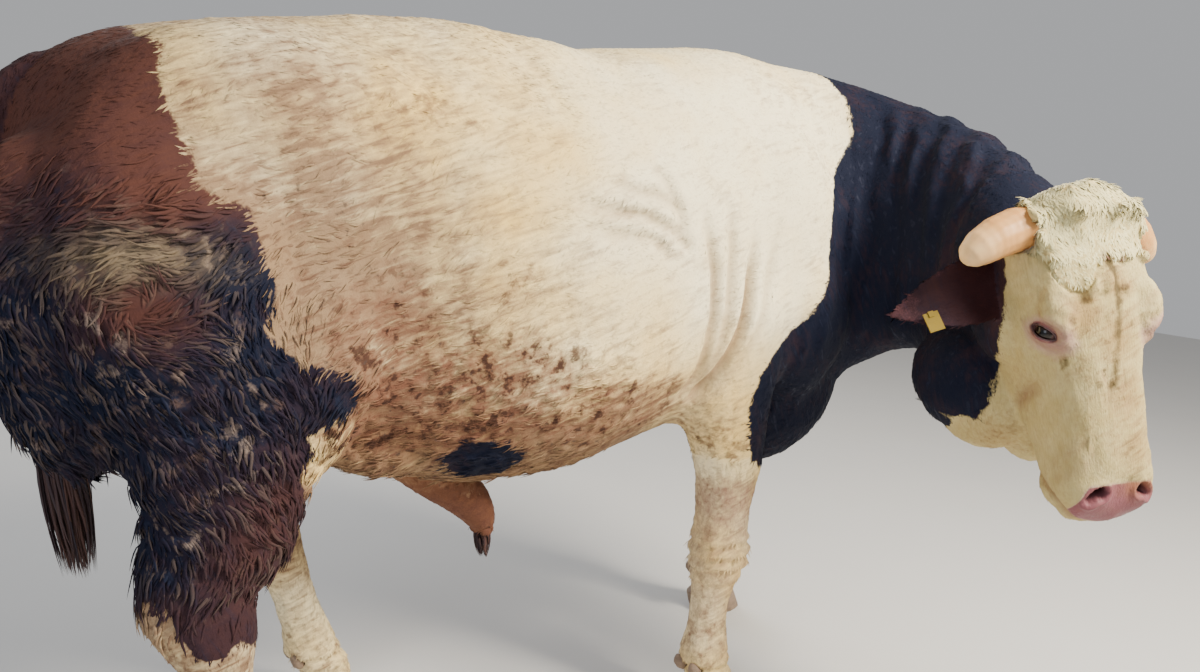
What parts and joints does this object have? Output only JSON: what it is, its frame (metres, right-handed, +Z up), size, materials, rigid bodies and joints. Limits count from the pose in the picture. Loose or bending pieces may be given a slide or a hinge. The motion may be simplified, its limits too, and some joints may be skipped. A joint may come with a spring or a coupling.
{
  "type": "beef bull",
  "caption": "Life-size still model of a heavily muscled red-brown and white horned beef bull, standing and looking back over its right side.",
  "frame": {"origin": "middle of the bottom of the model's box, on the floor under the chest and belly", "axes": "+X forward along the trunk, +Y to the animal's left, +Z up; the head is turned back towards -Y"},
  "size_m": [2.2364, 1.364, 1.5867],
  "materials": {
    "coat_white": "short cream-white hair",
    "coat_brown": "short dark red-brown hair",
    "bare_skin": "bare pinkish skin with sparse hair",
    "horn": "worn cream horn",
    "hoof": "worn brown horn",
    "eye": "wet dark eye",
    "tag": "yellow soft plastic"
  },
  "bodies": {
    "root": {"claw_fore_left_inner": "hoof", "claw_fore_left_outer": "hoof", "claw_fore_right_inner": "hoof", "claw_fore_right_outer": "hoof", "claw_hind_left_inner": "hoof", "claw_hind_left_outer": "hoof", "claw_hind_right_inner": "hoof", "claw_hind_right_outer": "hoof", "dewclaw_fore_left_inner": "hoof", "dewclaw_fore_left_outer": "hoof", "dewclaw_fore_right_inner": "hoof", "dewclaw_fore_right_outer": "hoof", "dewclaw_hind_left_inner": "hoof", "dewclaw_hind_left_outer": "hoof", "dewclaw_hind_right_inner": "hoof", "dewclaw_hind_right_outer": "hoof", "ear_left": "coat_brown", "ear_right": "coat_brown", "ear_tag": "tag", "eye_left": "eye", "eye_right": "eye", "head": "coat_white", "horn_left": "horn", "horn_right": "horn", "leg_fore_left": "coat_white", "leg_fore_right": "coat_white", "leg_hind_left": "coat_white", "leg_hind_right": "coat_white", "neck": "coat_brown", "scrotum": "bare_skin", "sheath": "bare_skin", "tail": "coat_brown", "tail_switch": "coat_white", "torso": "coat_white"}
  },
  "joints": []
}
